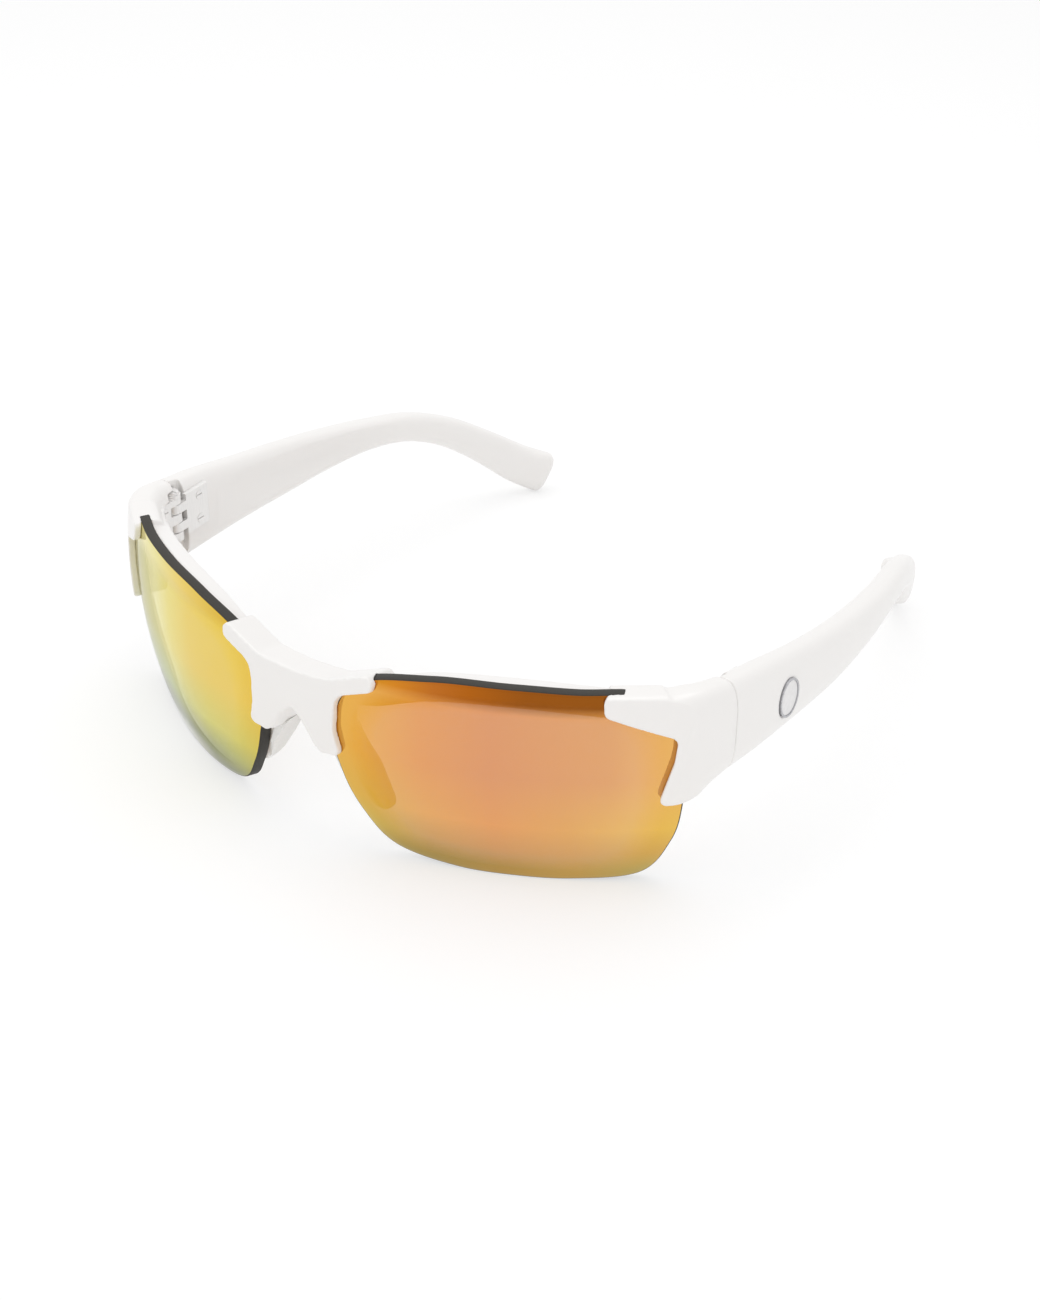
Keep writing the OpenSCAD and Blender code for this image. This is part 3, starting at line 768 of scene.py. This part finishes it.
def temple_leaf_pocket():
    """The pocket for the temple leaf's plate, which is turned as the temple is there."""
    turn = Matrix.Translation((HINGE_X, HINGE_Y, 0)) @ Matrix.Rotation(TEMPLE_PLATE_TURN, 4, "Z")
    low = (TEMPLE_PLATE_SIDES[0] - FIT, TEMPLE_PLATE_ENDS[0], leaf_low.z + LEAF_TRIM - FIT)
    high = (TEMPLE_PLATE_SIDES[1] + FIT, TEMPLE_PLATE_ENDS[1] + FIT, leaf_high.z - LEAF_TRIM + FIT)
    return block(low, high, turn)


def badge_seat():
    """The oval pocket that the badge is let into, on the outside of a temple."""
    middle = (badge_low + badge_high) / 2
    place = (Matrix.Translation((BADGE_X, middle.y - front_y, middle.z))
             @ Matrix.Rotation(BADGE_TURN, 4, "Z") @ SIDEWAYS)
    oval = [(x * (BADGE_WIDTH / 2 + FIT), y * (BADGE_HEIGHT / 2 + FIT)) for x, y in circle(1.0)]
    return prism(oval, BADGE_FACE - BADGE_DEPTH - FIT, BADGE_FACE + 1.4, place)


# ---- The model ----

plastic = white_plastic()
steel = hinge_steel()
lens_materials = [mirror_coat(), lens_back(), lens_edge()]
pad_material = soft_rubber()

finished(front_frame(), "visual_front_frame", "front", "front_frame", "white_gloss_plastic", plastic)

for word, place in (("left", as_it_is), ("right", mirrored)):
    finished(place(lens()), f"visual_lens_{word}", "front", f"lens_{word}", "mirror_lens", *lens_materials)
    finished(place(temple()), f"visual_temple_{word}", f"temple_{word}", f"temple_{word}",
             "white_gloss_plastic", plastic)

paint(pad_material, "nose_pad")
paint(steel, "front_hinge_leaf", "temple_hinge_leaf", "hinge_screw")
paint(steel, "front_leaf_screws", "temple_leaf_screws")
paint(badge_metal(), "badge_rim")
paint(badge_enamel(), "badge_plate")


# ---- Floor, light and camera ----

FLOOR_HALF_SIZE = 3.0
FLOOR_BELOW = 0.02 * MM
FLOOR_WHITE = 0.96
FLOOR_GLOW = 0.58  # the share of pure white in the floor that the camera sees
WORLD_LIGHT = 0.77


def seen_directly(tree):
    """1 for the camera's rays, and for those off metal or through glass, so that these show white too."""
    path = tree.nodes.new("ShaderNodeLightPath")
    seen = path.outputs["Is Camera Ray"]
    for kind in ("Is Glossy Ray", "Is Transmission Ray"):
        either = tree.nodes.new("ShaderNodeMath")
        either.operation = "MAXIMUM"
        tree.links.new(seen, either.inputs[0])
        tree.links.new(path.outputs[kind], either.inputs[1])
        seen = either.outputs[0]
    return seen


def floor():
    """A pale floor that keeps the object's shadow, just below the tips."""
    size = FLOOR_HALF_SIZE
    low = cad_box[0][2] - FLOOR_BELOW
    mesh = bpy.data.meshes.new("floor")
    mesh.from_pydata([(-size, -size, low), (size, -size, low), (size, size, low), (-size, size, low)], [],
                     [(0, 1, 2, 3)])
    obj = new_object("floor", mesh)
    m = Nodes("floor")
    m.set(Base_Color=(FLOOR_WHITE, FLOOR_WHITE, FLOOR_WHITE, 1.0), Roughness=0.9)
    nodes, links = m.tree.nodes, m.tree.links
    glow = nodes.new("ShaderNodeEmission")
    glow.inputs["Strength"].default_value = 1.0
    share = nodes.new("ShaderNodeMath")
    share.operation = "MULTIPLY"
    share.inputs[1].default_value = FLOOR_GLOW
    links.new(seen_directly(m.tree), share.inputs[0])
    blend = nodes.new("ShaderNodeMixShader")
    links.new(share.outputs[0], blend.inputs[0])
    links.new(m.shader.outputs[0], blend.inputs[1])
    links.new(glow.outputs[0], blend.inputs[2])
    links.new(blend.outputs[0], nodes["Material Output"].inputs[0])
    mesh.materials.append(m.material)


def world():
    """A world that is pure white to see, and that lights the object at a plain level."""
    studio = bpy.data.worlds.new("studio")
    bpy.context.scene.world = studio
    studio.use_nodes = True
    nodes, links = studio.node_tree.nodes, studio.node_tree.links
    back = nodes["Background"]
    back.inputs["Color"].default_value = (1, 1, 1, 1)
    strength = nodes.new("ShaderNodeMapRange")
    strength.inputs["To Min"].default_value = WORLD_LIGHT
    strength.inputs["To Max"].default_value = 1.0
    links.new(seen_directly(studio.node_tree), strength.inputs["Value"])
    links.new(strength.outputs["Result"], back.inputs["Strength"])


def lamp(name, place, size, power):
    """A round area lamp that shines at the object."""
    data = bpy.data.lights.new(name, "AREA")
    data.shape = "DISK"
    data.size = size
    data.energy = power
    obj = new_object(name, data)
    obj.location = place
    obj.rotation_euler = (-Vector(place)).to_track_quat("-Z", "Y").to_euler()


SENSOR = 36.0
FRAME_HEIGHT = 1300  # of the 1040 x 1300 image
FOCAL_LENGTH = 2000  # in the unit of that height


def camera():
    """The camera that was solved from the photo."""
    data = bpy.data.cameras.new("camera")
    data.lens = FOCAL_LENGTH * SENSOR / FRAME_HEIGHT
    data.clip_start = 0.01
    obj = new_object("camera", data)
    right = Vector((0.8158, 0.5782, 0.0090)).normalized()
    forward = Vector((-0.4950, 0.7062, -0.5062)).normalized()
    up = right.cross(forward).normalized()
    turn = Matrix((right, up, -forward)).transposed().to_4x4()
    place = Vector((208.43, front_y - 227.08, 219.59)) * MM
    obj.matrix_world = Matrix.Translation(place) @ turn
    bpy.context.scene.camera = obj


floor()
world()
lamp("key", place=(-0.1, 0.15, 0.9), size=0.9, power=2.6)
lamp("fill", place=(-0.6, -0.6, 0.7), size=0.7, power=1.2)
lamp("front", place=(0.7, -0.5, 0.4), size=0.7, power=1.0)
camera()
bpy.context.scene.view_settings.view_transform = "Standard"
